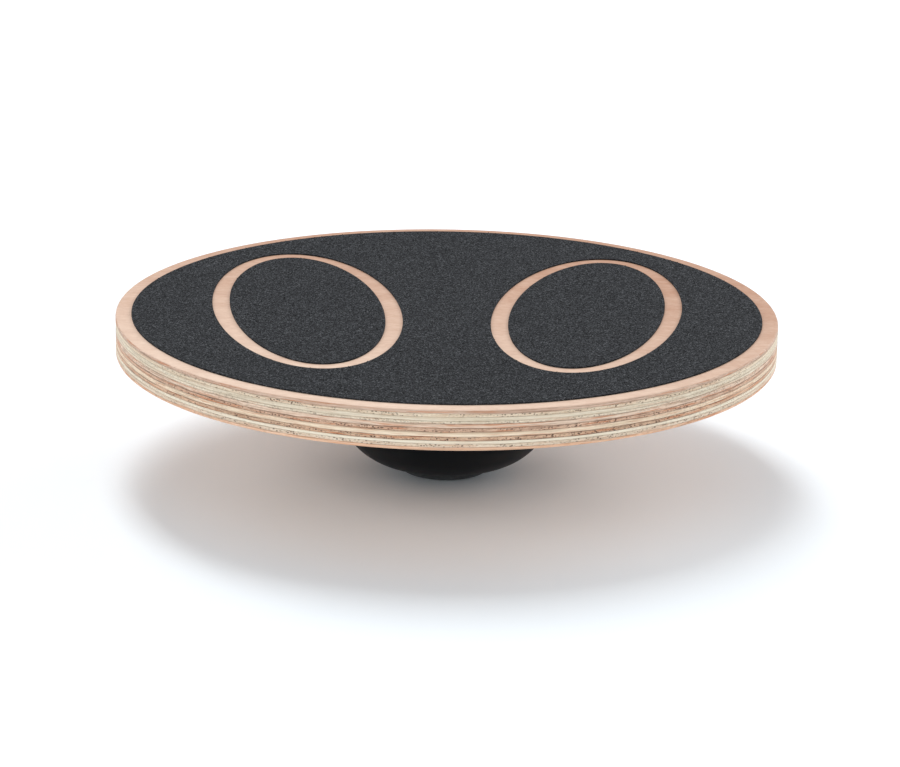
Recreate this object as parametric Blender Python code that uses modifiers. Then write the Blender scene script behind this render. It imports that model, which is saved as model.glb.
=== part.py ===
"""Balance board: a round plywood deck screwed onto a hollow half dome with a rubber foot.

Units are metres and +Z is up. The origin is the middle of the foot pad's flat underside, where
the board stands on the floor. The foot marks on top point their toes along +Y.
"""

import math

import bmesh
import bpy
from mathutils import Matrix

# Fits
FIT_GAP = 0.0003        # between separate pieces that touch
GLUE_LINE = 0.0001      # between sheets that are glued face to face
OVERSHOOT = 0.005       # how far a cutter runs past the face that it cuts
WELD_DISTANCE = 0.00001

# Deck
DECK_RADIUS = 0.200
EDGE_ROUNDING = 0.0010  # on the outer corner of the two face veneers
VENEERS = (             # from the top face down: name, thickness, colour
    ("ply_01_top_face", 0.0021, "#E3BC9C"),
    ("ply_02", 0.0018, "#D5BFA3"),
    ("ply_03", 0.0022, "#E2D6BE"),
    ("ply_04", 0.0014, "#C8B7A2"),
    ("ply_05", 0.0025, "#D2AF99"),
    ("ply_06_core", 0.0022, "#BC9A86"),
    ("ply_07", 0.0025, "#E2CBB1"),
    ("ply_08", 0.0023, "#BB9B87"),
    ("ply_09", 0.0016, "#E9D9C2"),
    ("ply_10", 0.0020, "#CDBEA8"),
    ("ply_11_bottom_face", 0.0019, "#DCB79A"),
)

# Grip sheet
BARE_RING = 0.0096      # wood left showing between the grip sheet and the deck's edge
GRIP_THICKNESS = 0.0008
STANCE_HALF = 0.085     # from the middle of the deck to the middle of a foot mark
FOOT_HALF_WIDTH = 0.046
FOOT_EDGE_MARGIN = 0.027
FOOT_BAND = 0.0105      # width of the bare wood line around each foot mark
TOE_OUT = math.radians(8)

# Dome
DOME_RIM_RADIUS = 0.0805
DOME_HEIGHT = 0.0737    # pole to rim
POLE_RADIUS = 0.150     # curve of the rocking pole
POLE_ANGLE = math.radians(15)
SHOULDER_RADIUS = 0.0364
SHOULDER_ANGLE = math.radians(50)
DOME_WALL = 0.0032
RIB_THICKNESS = 0.0022
RIB_PLATES = 6          # each runs right across the dome, so it gives two ribs
RIB_RELIEF = 0.0015     # from the ribs' top edges up to the rim
HUB_RADIUS = 0.0100
HUB_BORE_RADIUS = 0.0075

# Foot pad
PAD_RADIUS = 0.027
PAD_PROUD = 0.0030      # how far the pad stands out past the dome's pole
PAD_LIP = 0.0010        # depth of its recess at the recess's rim
PAD_CROWN_RADIUS = 0.150
PAD_FLAT_RADIUS = 0.016
PAD_EDGE_ROUNDING = 0.0008

# Screws
SCREW_COUNT = 6
SCREW_LENGTH = 0.022    # under the head
SCREW_SHANK_RADIUS = 0.0022
SCREW_POINT = 0.0040    # length of the pointed end
PILOT_EXTRA = 0.0010    # how far a pilot hole runs on past its screw's tip
SCREW_HEAD_RADIUS = 0.0045
SCREW_HEAD_HEIGHT = 0.0028
SCREW_HEAD_SIDE = 0.0010  # straight part of the head's side, next to its seat
SCREW_HEAD_FLAT = 0.0024  # radius of the flat end of the pan
CROSS_WIDTH = 0.0012
CROSS_SPAN = 0.0050
CROSS_DEPTH = 0.0018
SEAT_THICKNESS = 0.0060  # moulding between the screw's head and the deck
WELL_CLEARANCE = 0.0010  # around the screw's head
WELL_WALL = 0.0025       # around a well, and between a well and the pad's recess

# Facets
DECK_STEPS = 96
DOME_STEPS = 72
OVAL_STEPS = 44
PAD_STEPS = 48
HEAD_STEPS = 16
BORE_STEPS = 12
ARC_STEPS = 5
ROUNDING_STEPS = 3
SMOOTH_BELOW = math.radians(35)

# Heights and radii that follow from the sizes above
POLE_Z = PAD_PROUD
RIM_Z = POLE_Z + DOME_HEIGHT
DECK_BOTTOM_Z = RIM_Z + FIT_GAP
DECK_TOP_Z = DECK_BOTTOM_Z + sum(veneer[1] for veneer in VENEERS) + GLUE_LINE * (len(VENEERS) - 1)
PAD_SEAT_RADIUS = PAD_RADIUS + FIT_GAP
PAD_SEAT_Z = POLE_Z + POLE_RADIUS - math.sqrt(POLE_RADIUS**2 - PAD_SEAT_RADIUS**2) + PAD_LIP
CAVITY_FLOOR_Z = PAD_SEAT_Z + DOME_WALL
WELL_RADIUS = SCREW_HEAD_RADIUS + WELL_CLEARANCE
BOSS_RADIUS = WELL_RADIUS + WELL_WALL
SCREW_CIRCLE = PAD_SEAT_RADIUS + WELL_WALL + WELL_RADIUS
SCREW_SEAT_Z = RIM_Z - SEAT_THICKNESS
HEAD_TOP_Z = SCREW_SEAT_Z - FIT_GAP
SCREW_TIP_Z = HEAD_TOP_Z + SCREW_LENGTH
PILOT_END_Z = SCREW_TIP_Z + PILOT_EXTRA
GRIP_RADIUS = DECK_RADIUS - BARE_RING


def clear_scene():
    for old in list(bpy.data.objects):
        bpy.data.objects.remove(old, do_unlink=True)


def new_collection(name):
    collection = bpy.data.collections.new(name)
    bpy.context.scene.collection.children.link(collection)
    return collection


def linear_colour(hex_colour):
    """Turn an sRGB hex colour into the linear RGBA that a shader takes."""
    channels = [int(hex_colour[i:i + 2], 16) / 255 for i in (1, 3, 5)]
    linear = [c / 12.92 if c <= 0.04045 else ((c + 0.055) / 1.055) ** 2.4 for c in channels]
    return (*linear, 1.0)


def make_material(name, hex_colour, roughness, metallic=0.0):
    material = bpy.data.materials.new(name)
    material.use_nodes = True
    shader = material.node_tree.nodes["Principled BSDF"]
    shader.inputs["Base Color"].default_value = linear_colour(hex_colour)
    shader.inputs["Roughness"].default_value = roughness
    shader.inputs["Metallic"].default_value = metallic
    material.diffuse_color = linear_colour(hex_colour)
    return material


def add_object(name, data, collection, material=None):
    obj = bpy.data.objects.new(name, data)
    collection.objects.link(obj)
    if material:
        data.materials.append(material)
    return obj


def arc(centre, radius, start, end, steps=ARC_STEPS):
    """Points (r, z) on an arc; angles are measured from straight down towards the outside."""
    angles = [start + (end - start) * i / steps for i in range(steps + 1)]
    return [
        (centre[0] + radius * math.sin(angle), centre[1] - radius * math.cos(angle))
        for angle in angles
    ]


def turned(name, outline, steps, collection, material=None, place=(0.0, 0.0)):
    """Turn an outline of (r, z) points, listed from the top down its outer side, about Z."""
    mesh = bpy.data.meshes.new(name)
    form = bmesh.new()
    points = [form.verts.new((r, 0.0, z)) for r, z in outline]
    for upper, lower in zip(points, points[1:]):
        form.edges.new((upper, lower))
    form.to_mesh(mesh)
    form.free()
    obj = add_object(name, mesh, collection, material)
    obj.location = (place[0], place[1], 0.0)
    screw = obj.modifiers.new("turn", "SCREW")
    screw.axis = "Z"
    screw.angle = math.tau
    screw.steps = steps
    screw.render_steps = steps
    screw.use_merge_vertices = True
    screw.merge_threshold = WELD_DISTANCE
    return obj


def cylinder(name, radius, bottom, top, steps, collection, place=(0.0, 0.0)):
    outline = [(0.0, top), (radius, top), (radius, bottom), (0.0, bottom)]
    return turned(name, outline, steps, collection, place=place)


def box(name, size, bottom, collection, turn=0.0):
    """A box centred on the Z axis, standing on the height bottom and turned about Z."""
    mesh = bpy.data.meshes.new(name)
    form = bmesh.new()
    bmesh.ops.create_cube(form, size=1.0)
    bmesh.ops.scale(form, vec=size, verts=form.verts)
    bmesh.ops.translate(form, vec=(0.0, 0.0, bottom + size[2] / 2), verts=form.verts)
    form.to_mesh(mesh)
    form.free()
    obj = add_object(name, mesh, collection)
    obj.rotation_euler = (0.0, 0.0, turn)
    return obj


def cut(target, cutter, solver="EXACT"):
    """Cut with the exact solver; the ribbed dome takes MANIFOLD, which closes it without cracks."""
    boolean = target.modifiers.new("cut_" + cutter.name, "BOOLEAN")
    boolean.operation = "DIFFERENCE"
    boolean.solver = solver
    boolean.object = cutter


def weld(obj):
    """Join the corners that cuts, caps or turned ends leave in the same place."""
    modifier = obj.modifiers.new("weld", "WELD")
    modifier.merge_threshold = WELD_DISTANCE


def set_in_mesh(obj, collection):
    """Replace an object by the mesh that its curve or modifiers give, shaded for round work."""
    graph = bpy.context.evaluated_depsgraph_get()
    mesh = bpy.data.meshes.new_from_object(obj.evaluated_get(graph), depsgraph=graph)
    name = obj.name
    matrix = obj.matrix_world.copy()
    bpy.data.objects.remove(obj, do_unlink=True)
    mesh.shade_smooth()
    mesh.set_sharp_from_angle(angle=SMOOTH_BELOW)
    settled = bpy.data.objects.new(name, mesh)
    settled.matrix_world = matrix
    collection.objects.link(settled)
    return settled


def screw_places():
    angles = [math.tau * i / SCREW_COUNT for i in range(SCREW_COUNT)]
    return [(SCREW_CIRCLE * math.cos(angle), SCREW_CIRCLE * math.sin(angle)) for angle in angles]


def make_screw_ways(cutters):
    """One stepped cutter for each screw: its well, its clearance hole and its pilot hole.

    Each is turned half a facet, so that no corner of a hole lands on an edge of what it cuts.
    """
    hole_radius = SCREW_SHANK_RADIUS + FIT_GAP
    outline = [
        (0.0, PILOT_END_Z),
        (hole_radius, PILOT_END_Z - SCREW_POINT),
        (hole_radius, SCREW_SEAT_Z),
        (WELL_RADIUS, SCREW_SEAT_Z),
        (WELL_RADIUS, -OVERSHOOT),
        (0.0, -OVERSHOOT),
    ]
    screw_ways = []
    for number, place in enumerate(screw_places(), start=1):
        screw_way = turned(f"screw_way_{number}", outline, BORE_STEPS, cutters, place=place)
        screw_way.rotation_euler.z = math.pi / BORE_STEPS
        screw_ways.append(screw_way)
    return screw_ways


def veneer_outline(top, bottom, round_top, round_bottom):
    """Half section of one veneer, with its outer corners rounded where it is a face veneer."""
    rounding = EDGE_ROUNDING
    inner = DECK_RADIUS - rounding
    outline = [(0.0, top)]
    if round_top:
        outline += arc((inner, top - rounding), rounding, math.pi, math.pi / 2, steps=ROUNDING_STEPS)
    else:
        outline.append((DECK_RADIUS, top))
    if round_bottom:
        outline += arc((inner, bottom + rounding), rounding, math.pi / 2, 0.0, steps=ROUNDING_STEPS)
    else:
        outline.append((DECK_RADIUS, bottom))
    return outline + [(0.0, bottom)]


def make_deck(parts, screw_ways):
    """Stack the veneers from the top face down and drill those that the screws reach."""
    top = DECK_TOP_Z
    last = len(VENEERS) - 1
    for index, (name, thickness, colour) in enumerate(VENEERS):
        bottom = top - thickness
        outline = veneer_outline(top, bottom, index == 0, index == last)
        material = make_material(name, colour, 0.6)
        veneer = turned(name, outline, DECK_STEPS, parts, material)
        if bottom < PILOT_END_Z:
            for screw_way in screw_ways:
                cut(veneer, screw_way)
        top = bottom - GLUE_LINE


def circle(radius, steps):
    return [
        (radius * math.cos(math.tau * i / steps), radius * math.sin(math.tau * i / steps))
        for i in range(steps)
    ]


def foot_half_length():
    """Half length of a foot mark whose bare line's tips stay clear of the grip sheet's edge."""
    reach = GRIP_RADIUS - FOOT_EDGE_MARGIN
    lean = STANCE_HALF * math.sin(TOE_OUT)
    return math.sqrt(lean**2 + reach**2 - STANCE_HALF**2) - lean - FOOT_BAND


def foot_oval(side, margin):
    """Outline of a foot mark grown by margin; side is -1 for the left and 1 for the right."""
    across = FOOT_HALF_WIDTH + margin
    along = foot_half_length() + margin
    turn = Matrix.Rotation(-side * TOE_OUT, 2)
    points = []
    for x, y in circle(1.0, OVAL_STEPS):
        turned_x = turn[0][0] * across * x + turn[0][1] * along * y
        turned_y = turn[1][0] * across * x + turn[1][1] * along * y
        points.append((side * STANCE_HALF + turned_x, turned_y))
    return points


def flat_sheet(name, loops, collection, material):
    """A sheet lying on the deck; the first loop is its edge and the others are its openings."""
    curve = bpy.data.curves.new(name, "CURVE")
    curve.dimensions = "2D"
    curve.fill_mode = "BOTH"
    curve.extrude = GRIP_THICKNESS / 2
    for loop in loops:
        spline = curve.splines.new("POLY")
        spline.points.add(len(loop) - 1)
        spline.use_cyclic_u = True
        for point, (x, y) in zip(spline.points, loop):
            point.co = (x, y, 0.0, 1.0)
    sheet = add_object(name, curve, collection, material)
    sheet.location.z = DECK_TOP_Z + GLUE_LINE + GRIP_THICKNESS / 2
    weld(sheet)


def make_grip(parts):
    material = make_material("grip_sheet", "#4A4B4D", 0.9)
    openings = [foot_oval(side, FOOT_BAND) for side in (-1, 1)]
    flat_sheet("grip_field", [circle(GRIP_RADIUS, DECK_STEPS)] + openings, parts, material)
    flat_sheet("grip_left_foot", [foot_oval(-1, 0.0)], parts, material)
    flat_sheet("grip_right_foot", [foot_oval(1, 0.0)], parts, material)


def dome_surface(inset):
    """Points (r, z) from the pole to the rim, moved inwards by inset from the outside.

    Three arcs meet smoothly. The flank's arc is the one that leaves the shoulder smoothly and
    passes through the rim.
    """
    pole_centre = (0.0, POLE_Z + POLE_RADIUS)
    inwards = (-math.sin(POLE_ANGLE), math.cos(POLE_ANGLE))
    pole_end = arc(pole_centre, POLE_RADIUS, POLE_ANGLE, POLE_ANGLE)[0]
    shoulder_centre = [pole_end[i] + SHOULDER_RADIUS * inwards[i] for i in (0, 1)]
    shoulder_end = arc(shoulder_centre, SHOULDER_RADIUS, SHOULDER_ANGLE, SHOULDER_ANGLE)[0]
    inwards = (-math.sin(SHOULDER_ANGLE), math.cos(SHOULDER_ANGLE))
    to_rim = (DOME_RIM_RADIUS - shoulder_end[0], RIM_Z - shoulder_end[1])
    depth = inwards[0] * to_rim[0] + inwards[1] * to_rim[1]
    flank_radius = (to_rim[0]**2 + to_rim[1]**2) / (2 * depth)
    flank_centre = [shoulder_end[i] + flank_radius * inwards[i] for i in (0, 1)]
    rim_angle = math.atan2(DOME_RIM_RADIUS - flank_centre[0], flank_centre[1] - RIM_Z)
    pole = arc(pole_centre, POLE_RADIUS - inset, 0.0, POLE_ANGLE)
    shoulder = arc(shoulder_centre, SHOULDER_RADIUS - inset, POLE_ANGLE, SHOULDER_ANGLE)
    flank = arc(flank_centre, flank_radius - inset, SHOULDER_ANGLE, rim_angle)
    return pole + shoulder[1:] + flank[1:]


def make_cavity(cutters):
    """The dome's hollow, less the hub, bosses and ribs that stand in it."""
    wall = [point for point in dome_surface(DOME_WALL) if point[1] > CAVITY_FLOOR_Z]
    top = RIM_Z + OVERSHOOT
    floor = [(wall[0][0], CAVITY_FLOOR_Z), (0.0, CAVITY_FLOOR_Z)]
    outline = [(0.0, top), (wall[-1][0], top)] + wall[::-1] + floor
    cavity = turned("dome_cavity", outline, DOME_STEPS, cutters)
    over = top + OVERSHOOT
    standing = [cylinder("hub", HUB_RADIUS, 0.0, over, 2 * BORE_STEPS, cutters)]
    for number, place in enumerate(screw_places(), start=1):
        standing.append(
            cylinder(f"boss_{number}", BOSS_RADIUS, 0.0, over, 2 * BORE_STEPS, cutters, place)
        )
    for number in range(RIB_PLATES):
        size = (2 * DOME_RIM_RADIUS, RIB_THICKNESS, RIM_Z - RIB_RELIEF)
        turn = math.pi * number / RIB_PLATES
        standing.append(box(f"rib_plate_{number + 1}", size, 0.0, cutters, turn))
    for piece in standing:
        cut(cavity, piece, "MANIFOLD")
    return cavity


def make_dome(parts, cutters, screw_ways):
    material = make_material("dome_base", "#1D1E20", 0.45)
    outline = [(0.0, RIM_Z)] + dome_surface(0.0)[::-1]
    dome = turned("dome_base", outline, DOME_STEPS, parts, material)
    top = RIM_Z + OVERSHOOT
    hollows = [
        make_cavity(cutters),
        cylinder("hub_bore", HUB_BORE_RADIUS, CAVITY_FLOOR_Z, top, 2 * BORE_STEPS, cutters),
        cylinder("pad_seat", PAD_SEAT_RADIUS, -OVERSHOOT, PAD_SEAT_Z, PAD_STEPS, cutters),
    ]
    for hollow in hollows + screw_ways:
        cut(dome, hollow, "MANIFOLD")


def make_pad(parts):
    """A rubber disc with a flat middle, a crown that follows the dome and a rounded edge."""
    crown_centre = (0.0, math.sqrt(PAD_CROWN_RADIUS**2 - PAD_FLAT_RADIUS**2))
    flat_angle = math.asin(PAD_FLAT_RADIUS / PAD_CROWN_RADIUS)
    rounding = PAD_EDGE_ROUNDING
    inner = PAD_RADIUS - rounding
    edge_angle = math.asin(inner / (PAD_CROWN_RADIUS - rounding))
    crown = arc(crown_centre, PAD_CROWN_RADIUS, flat_angle, edge_angle)
    edge_centre = (inner, crown_centre[1] - (PAD_CROWN_RADIUS - rounding) * math.cos(edge_angle))
    edge = arc(edge_centre, rounding, edge_angle, math.pi / 2, steps=ROUNDING_STEPS)
    top = PAD_SEAT_Z - FIT_GAP
    outline = [(0.0, top), (PAD_RADIUS, top)] + edge[::-1] + crown[-2::-1] + [(0.0, 0.0)]
    turned("dome_pad", outline, PAD_STEPS, parts, make_material("dome_pad", "#2B2D2C", 0.75))


def screw_outline():
    """Half section of a pan-head wood screw driven upwards, from its tip down to its head."""
    width = SCREW_HEAD_RADIUS - SCREW_HEAD_FLAT
    height = SCREW_HEAD_HEIGHT - SCREW_HEAD_SIDE
    quarter = arc((0.0, 0.0), 1.0, math.pi / 2, 0.0, ROUNDING_STEPS)
    pan = [
        (SCREW_HEAD_FLAT + width * r, HEAD_TOP_Z - SCREW_HEAD_SIDE + height * z)
        for r, z in quarter
    ]
    return [
        (0.0, SCREW_TIP_Z),
        (SCREW_SHANK_RADIUS, SCREW_TIP_Z - SCREW_POINT),
        (SCREW_SHANK_RADIUS, HEAD_TOP_Z),
        (SCREW_HEAD_RADIUS, HEAD_TOP_Z),
        *pan,
        (0.0, HEAD_TOP_Z - SCREW_HEAD_HEIGHT),
    ]


def make_screws(parts, cutters):
    """Make one screw with its cross recess, then place copies that share its mesh."""
    material = make_material("screw", "#8E9094", 0.35, 1.0)
    pattern = turned("screw_1", screw_outline(), HEAD_STEPS, parts, material)
    recess_bottom = HEAD_TOP_Z - SCREW_HEAD_HEIGHT - OVERSHOOT
    for name, turn in (("recess_slot_1", 0.0), ("recess_slot_2", math.pi / 2)):
        size = (CROSS_SPAN, CROSS_WIDTH, OVERSHOOT + CROSS_DEPTH)
        cut(pattern, box(name, size, recess_bottom, cutters, turn))
    places = screw_places()
    first = set_in_mesh(pattern, parts)
    first.location = (*places[0], 0.0)
    for number, place in enumerate(places[1:], start=2):
        copy = add_object(f"screw_{number}", first.data, parts)
        copy.location = (*place, 0.0)


def main():
    clear_scene()
    parts = new_collection("balance_board")
    cutters = new_collection("cutters")
    screw_ways = make_screw_ways(cutters)
    make_deck(parts, screw_ways)
    make_grip(parts)
    make_dome(parts, cutters, screw_ways)
    make_pad(parts)
    for part in list(parts.objects):
        set_in_mesh(part, parts)
    make_screws(parts, cutters)
    for cutter in cutters.objects:
        cutter.hide_render = True
        cutter.display_type = "WIRE"


main()
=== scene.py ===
"""Looks of the balance board.

A plywood deck of separate veneers, a grit sheet with two foot marks, a moulded half dome with its
ribs and screw wells, a grooved rubber pad and six threaded screws, on a white studio floor.
Units are metres. Everything that the CAD gives is read from its boxes.
"""

import math

import bmesh
import bpy
from mathutils import Matrix, Vector, noise


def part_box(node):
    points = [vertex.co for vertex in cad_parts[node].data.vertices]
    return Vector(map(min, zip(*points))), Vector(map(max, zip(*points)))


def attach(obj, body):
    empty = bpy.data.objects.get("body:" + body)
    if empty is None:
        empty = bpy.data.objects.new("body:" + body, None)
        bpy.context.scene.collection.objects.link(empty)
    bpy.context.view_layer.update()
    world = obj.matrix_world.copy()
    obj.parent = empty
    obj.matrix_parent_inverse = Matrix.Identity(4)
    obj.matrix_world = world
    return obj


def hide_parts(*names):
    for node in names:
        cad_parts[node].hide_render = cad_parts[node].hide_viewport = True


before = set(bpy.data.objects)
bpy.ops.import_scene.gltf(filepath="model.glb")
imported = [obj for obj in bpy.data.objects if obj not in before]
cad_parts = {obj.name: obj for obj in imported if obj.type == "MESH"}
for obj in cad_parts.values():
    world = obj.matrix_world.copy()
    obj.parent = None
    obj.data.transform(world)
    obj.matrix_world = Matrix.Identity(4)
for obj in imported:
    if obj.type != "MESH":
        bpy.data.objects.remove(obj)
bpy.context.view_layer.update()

MM = 0.001

# Deck: from the top face down, each veneer's CAD node, its record slot, the pale and dark tones of
# its wood, and how strongly its streaks, its open pores and the glue at its faces show. The grain
# of each veneer runs across that of its neighbours.
VENEERS = (
    ("ply_01_top_face", "face_veneer", "#D9C0AC", "#A97E65", 0.9, 0.30, 0.50),
    ("ply_02", "cream_veneer", "#EBDCC5", "#C1A788", 0.4, 0.90, 0.20),
    ("ply_03", "cream_veneer", "#E6DAC5", "#C2B093", 0.3, 0.35, 0.25),
    ("ply_04", "cream_veneer", "#EBDEC9", "#BCA98D", 0.4, 0.50, 0.40),
    ("ply_05", "pink_veneer", "#EAD4BF", "#C5A084", 1.0, 0.45, 0.80),
    ("ply_06_core", "brown_veneer", "#E5C4A9", "#9A725B", 1.0, 0.90, 1.00),
    ("ply_07", "cream_veneer", "#F4E1C8", "#D2B697", 0.7, 0.30, 0.40),
    ("ply_08", "brown_veneer", "#E7C5A7", "#926C53", 1.0, 1.00, 1.00),
    ("ply_09", "cream_veneer", "#F0E6D2", "#DACAB0", 0.2, 0.30, 0.15),
    ("ply_10", "cream_veneer", "#EBDBC6", "#BEA487", 0.4, 0.80, 0.40),
    ("ply_11_bottom_face", "face_veneer", "#F0CAAD", "#CF9E7C", 0.9, 0.35, 0.35),
)
# Painted light: the faces are painted paler towards the deck's front-left side, as if more light
# fell there. Its direction, and how far along it from the deck's middle it starts and is full
PAINTED_LIGHT_WAY = (-0.35, -0.94, 0.0)
PAINTED_LIGHT_START, PAINTED_LIGHT_FULL = -110 * MM, 190 * MM
# What shows in the wood: each pattern's size along, across and through the grain, its detail and
# its roughness
WOOD_PATTERNS = {
    "lines": ((60 * MM, 30 * MM, 0.9 * MM), 2.0, 0.6),
    "streaks": ((34 * MM, 22 * MM, 0.9 * MM), 3.0, 0.6),
    "figure": ((90 * MM, 14 * MM, 30 * MM), 2.0, 0.5),
    "mottle": ((6 * MM, 2.4 * MM, 0.9 * MM), 3.0, 0.8),
    "patches": ((22 * MM, 22 * MM, 3 * MM), 2.0, 0.5),
    "broken": ((24 * MM, 24 * MM, 6 * MM), 4.0, 0.7),
    "fine": ((2 * MM, 0.4 * MM, 0.4 * MM), 2.0, 0.6),
}
# Stains of the edge: the pattern, where it starts and is full, its strength and its colour
WOOD_STAINS = (
    ("streaks", 0.53, 0.61, 0.72, "#BD7245"),
    ("streaks", 0.44, 0.36, 0.50, "#80604A"),
    ("lines", 0.40, 0.32, 0.30, "#93886F"),
)
WOOD_SHIFT = 0.53  # how far each veneer's patterns are moved on from the last one's, in metres
PORE_CELL = (5 * MM, 1.35 * MM, 0.9 * MM)  # spacing of the pores: along, across, through the grain
PORE_COLOUR = "#4C3325"
GLUE_COLOUR = "#6A4C3B"
DECK_STEPS = 360
SIDE_STEPS = 6            # faces up a veneer's side, and round each of its corners
EDGE_ROUNDING = 1.0 * MM
FLAT_MARGIN = 0.2 * MM    # a narrow ring that keeps the shading of a flat face flat
GLUE_ARRIS = 0.12 * MM    # where sanding softens a veneer's corner at a glue line
SANDING_WAVE = 0.05 * MM  # how far hand sanding leaves the edge from a true circle
SANDING_WAVE_LENGTH = 14 * MM
SANDING_WAVE_SQUEEZE = 6  # how many times shorter that wave is up the edge than round it
GLUE_LINE_WAVE = 0.30 * MM
GLUE_LINE_WAVE_LENGTH = 22 * MM

# Grit sheet
FOOT_HALF_WIDTH = 46 * MM
FOOT_BAND = 10.5 * MM
TOE_OUT = math.radians(8)
SHEET_ARRIS = 0.15 * MM
OVAL_STEPS = 160
GRAIN_SIZE = 0.42 * MM
SMALLEST_GRAIN, LARGEST_GRAIN = 0.5, 1.25  # as shares of the grain size
GRAINS_PER_SQUARE_METRE = 110_000
GRAIN_SEED = 7
LEVEL_ENOUGH = 0.99     # only faces whose normal points up by more than this hold grains
GRIT_CELL = 0.6 * MM    # size of the spots of one tone in the sheet's colour

# Dome, pole down
DOME_POLE_Z = 3.0 * MM
POLE_RADIUS = 150 * MM
POLE_ANGLE = math.radians(15)
SHOULDER_RADIUS = 36.4 * MM
SHOULDER_ANGLE = math.radians(50)
DOME_WALL = 3.2 * MM
HUB_RADIUS = 10 * MM
HUB_BORE_RADIUS = 7.5 * MM
RIB_THICKNESS = 2.2 * MM
RIB_PLATES = 6
RIB_RELIEF = 1.5 * MM   # how far the ribs stay below the rim
DOME_STEPS = 192
DOME_ARC_STEPS = 14
HUB_STEPS = 64
BOSS_STEPS = 48
OVERSHOOT = 5 * MM      # how far a cutter reaches past the face that it cuts

# Pad
FIT_GAP = 0.3 * MM
PAD_CROWN_RADIUS = 150 * MM
PAD_FLAT_RADIUS = 16 * MM
PAD_EDGE_ROUNDING = 0.8 * MM
PAD_GROOVES = (6 * MM, 11 * MM, 21 * MM)
PAD_GROOVE_WIDTH = 1.2 * MM
PAD_GROOVE_DEPTH = 0.7 * MM
PAD_GROOVE_FLOOR = 0.7  # width of a groove's floor as a share of its mouth
PAD_STEPS = 160
PAD_EDGE_STEPS = 6
PAD_SEAT_STEPS = 128

# Screws, heads down
SCREW_COUNT = 6
SCREW_CORE_RADIUS = 1.55 * MM
SCREW_THREAD_RADIUS = 2.2 * MM
SCREW_PITCH = 2.0 * MM
SCREW_POINT = 4.0 * MM
SCREW_HEAD_HEIGHT = 2.8 * MM
SCREW_HEAD_SIDE = 1.0 * MM
SCREW_HEAD_FLAT = 2.4 * MM
SCREW_PLAIN_LENGTH = 6.0 * MM
WELL_CLEARANCE = 1.0 * MM
WELL_WALL = 2.5 * MM
PILOT_EXTRA = 1.0 * MM
CROSS_WIDTH = 1.2 * MM
CROSS_SPAN = 5.0 * MM
CROSS_DEPTH = 1.8 * MM
SCREW_STEPS = 32
SCREW_HEAD_STEPS = 8
SCREW_TIP_RADIUS = 0.02 * MM
THREAD_ROWS = 10          # rows of points for each turn of the thread
THREAD_HALF_WIDTH = 0.28  # half the width of the thread's foot, as a share of the pitch

# Camera and light
CAMERA_ELEVATION = math.radians(17.03)
CAMERA_ROLL = math.radians(0.98)
CAMERA_DISTANCE = 2.0418
CAMERA_ASIDE = 1.8 * MM   # how far right of the deck's middle the view is centred
CAMERA_BELOW = 43.8 * MM  # how far below the deck's top face the view is centred
CAMERA_LENS = 134.8
CAMERA_REACH = 50.0       # how far the camera sees, in metres
LIGHT_TARGET = Vector((0.0, 0.0, 0.05))
# Even light from all round, slightly blue to balance the warm light that the wood throws back
STUDIO_GLOW = 0.43
GLOW_COLOUR = (0.96, 0.985, 1.03)
# One long lamp above and behind the board: its place, its width and length, its power in watts
KEY_PLACE = Vector((-0.70, 1.85, 4.0))
KEY_SIZE = (1.2, 3.2)
KEY_POWER = 118.0
# White panels round the board: how far away and how high their middles are, their width and
# height, and each one's power in watts by its direction in degrees from X towards Y
PANEL_DISTANCE = 2.6
PANEL_HEIGHT = 1.15
PANEL_SIZE = (2.0, 1.0)
PANEL_POWERS = {0: 12.0, 45: 32.0, 135: 17.0, 225: 27.0, 315: 15.0}
FLOOR_HALF = 8.0  # half a side of the square floor, in metres

MERGE_DISTANCE = 0.005 * MM
SMOOTH_BELOW = math.radians(20)  # flatter edges than this are shaded smooth
THROUGH = "place_through_veneer"  # a vertex's place in its veneer, 0 at the bottom, 1 at the top

# Sizes that follow from the CAD boxes
screw_low, screw_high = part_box("screw_1")
dome_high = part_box("dome_base")[1]
pad_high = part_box("dome_pad")[1]
DOME_RIM_RADIUS = dome_high.x
DOME_RIM_Z = dome_high.z
PAD_SEAT_RADIUS = pad_high.x + FIT_GAP
PAD_SEAT_Z = pad_high.z + FIT_GAP
SCREW_CIRCLE = (screw_low.x + screw_high.x) / 2
SCREW_HEAD_RADIUS = (screw_high.x - screw_low.x) / 2
HEAD_TOP_Z = screw_low.z + SCREW_HEAD_HEIGHT
WELL_RADIUS = SCREW_HEAD_RADIUS + WELL_CLEARANCE
PILOT_END_Z = screw_high.z + PILOT_EXTRA


def arc(centre, radius, start, end, steps):
    """Points (r, z) on an arc; angles are measured from straight down towards the outside."""
    angles = [start + (end - start) * i / steps for i in range(steps + 1)]
    return [
        (centre[0] + radius * math.sin(angle), centre[1] - radius * math.cos(angle))
        for angle in angles
    ]


def new_object(name, data):
    obj = bpy.data.objects.new(name, data)
    bpy.context.scene.collection.objects.link(obj)
    return obj


def settled(obj):
    """Turn an object into the plain mesh that its modifiers give, with its place in the mesh."""
    graph = bpy.context.evaluated_depsgraph_get()
    mesh = bpy.data.meshes.new_from_object(obj.evaluated_get(graph), depsgraph=graph)
    mesh.transform(obj.matrix_world)
    name = obj.name
    bpy.data.objects.remove(obj, do_unlink=True)
    mesh.shade_smooth()
    mesh.set_sharp_from_angle(angle=SMOOTH_BELOW)
    mesh.name = name
    return new_object(name, mesh)


def turned(name, outline, steps, material=None):
    """Turn an outline of (r, z) points, listed from the top down its outer side, about Z."""
    mesh = bpy.data.meshes.new(name)
    edges = [(i, i + 1) for i in range(len(outline) - 1)]
    mesh.from_pydata([(r, 0.0, z) for r, z in outline], edges, [])
    return grown(new_object(name, mesh), TURNING, {"Steps": steps, "Material": material})


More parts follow.
